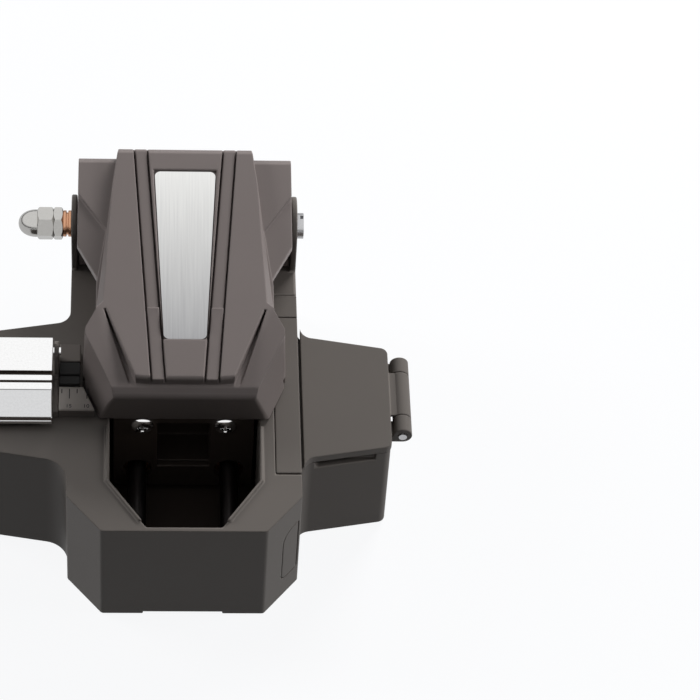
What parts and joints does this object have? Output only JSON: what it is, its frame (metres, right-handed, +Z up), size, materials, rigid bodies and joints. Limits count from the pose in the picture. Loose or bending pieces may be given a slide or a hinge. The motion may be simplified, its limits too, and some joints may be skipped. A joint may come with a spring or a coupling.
{
  "type": "fibre cleaver",
  "caption": "Desk-top optical fibre cleaver: lever with clamps and anvil, geared blade carriage, fibre holder with hinged lid, lidded scrap bin.",
  "frame": {"origin": "on the table, midway between the holder's left end and the bin hinge, and between the front face and the lever's back", "axes": "+X to the right (scrap bin side), +Y to the back (lever hinge side), +Z up"},
  "size_m": [0.1213, 0.11, 0.0641],
  "materials": {
    "painted": "satin warm grey powder coat",
    "dark_casting": "matt black",
    "chrome": "polished",
    "bronze": "turned bronze",
    "steel": "ground",
    "blade_steel": "polished bevel",
    "aluminium": "brushed",
    "black_plastic": "matt",
    "rubber": "matt"
  },
  "bodies": {
    "base": {"base_shell": "painted", "bottom_plate": "steel", "bottom_screws": "steel", "rubber_feet": "rubber", "drive_cover": "painted", "rear_cover": "painted", "hinge_shaft": "chrome", "shaft_bush": "bronze", "jam_nut": "chrome", "acorn_nut": "chrome", "clamp_bridges": "steel", "lower_clamp_pads": "rubber", "guide_rods": "steel", "idler_shaft": "steel", "fibre_platform": "aluminium", "ruler_plate": "aluminium", "fibre_guide": "black_plastic", "rear_guide_block": "aluminium", "holder_base": "aluminium", "holder_pin": "steel", "scrap_bin": "painted", "bin_hinge_pin": "steel"},
    "lever": {"lever_shell": "painted", "nameplate": "aluminium", "clamp_arm": "steel", "arm_screws": "steel", "upper_clamp_pads": "rubber", "anvil": "steel", "sector_gear": "steel"},
    "idler": {"idler_gear": "bronze"},
    "carriage": {"carriage_block": "dark_casting", "slide_bushings": "bronze", "front_plate": "dark_casting", "carriage_screws": "steel", "drive_rack": "steel", "blade_holder": "steel", "blade_pin": "steel"},
    "blade": {"blade_wheel": "blade_steel"},
    "holder_cover": {"holder_lid": "chrome", "holder_pad": "rubber"},
    "bin_cover": {"bin_lid": "painted"},
    "button": {"release_button": "painted"}
  },
  "joints": [
    {"name": "lever_hinge", "type": "hinge", "parent": "base", "child": "lever", "pos_m": [0, 0.0425, 0.0457], "axis": [-1, 0, 0], "range_deg": [0, 50]},
    {"name": "idler_spin", "type": "hinge", "parent": "base", "child": "idler", "pos_m": [-0.0115, 0.01931, 0.02251], "axis": [1, 0, 0], "range_deg": [-1, 178.78]},
    {"name": "carriage_slide", "type": "slide", "parent": "base", "child": "carriage", "axis": [0, -1, 0], "range_m": [-0.0001, 0.02244]},
    {"name": "blade_index", "type": "hinge", "parent": "carriage", "child": "blade", "pos_m": [0, 0.0048, 0.0311], "axis": [1, 0, 0], "continuous": true},
    {"name": "holder_lid_hinge", "type": "hinge", "parent": "base", "child": "holder_cover", "pos_m": [-0.047, -0.0024, 0.045], "axis": [-1, 0, 0], "range_deg": [0, 95]},
    {"name": "bin_lid_hinge", "type": "hinge", "parent": "base", "child": "bin_cover", "pos_m": [0.05805, -0.0046, 0.0293], "axis": [0, 1, 0], "range_deg": [0, 110]},
    {"name": "release_press", "type": "slide", "parent": "base", "child": "button", "axis": [-0.7755, 0.6314, 0], "range_m": [0, 0.0015], "stiffness_N_per_m": 150, "springref_m": -0.0015}
  ],
  "couplings": [
    {"joint": "idler_spin", "follows": "lever_hinge", "ratio": 3.5556},
    {"joint": "carriage_slide", "follows": "lever_hinge", "m_per_rad": 0.0256}
  ]
}
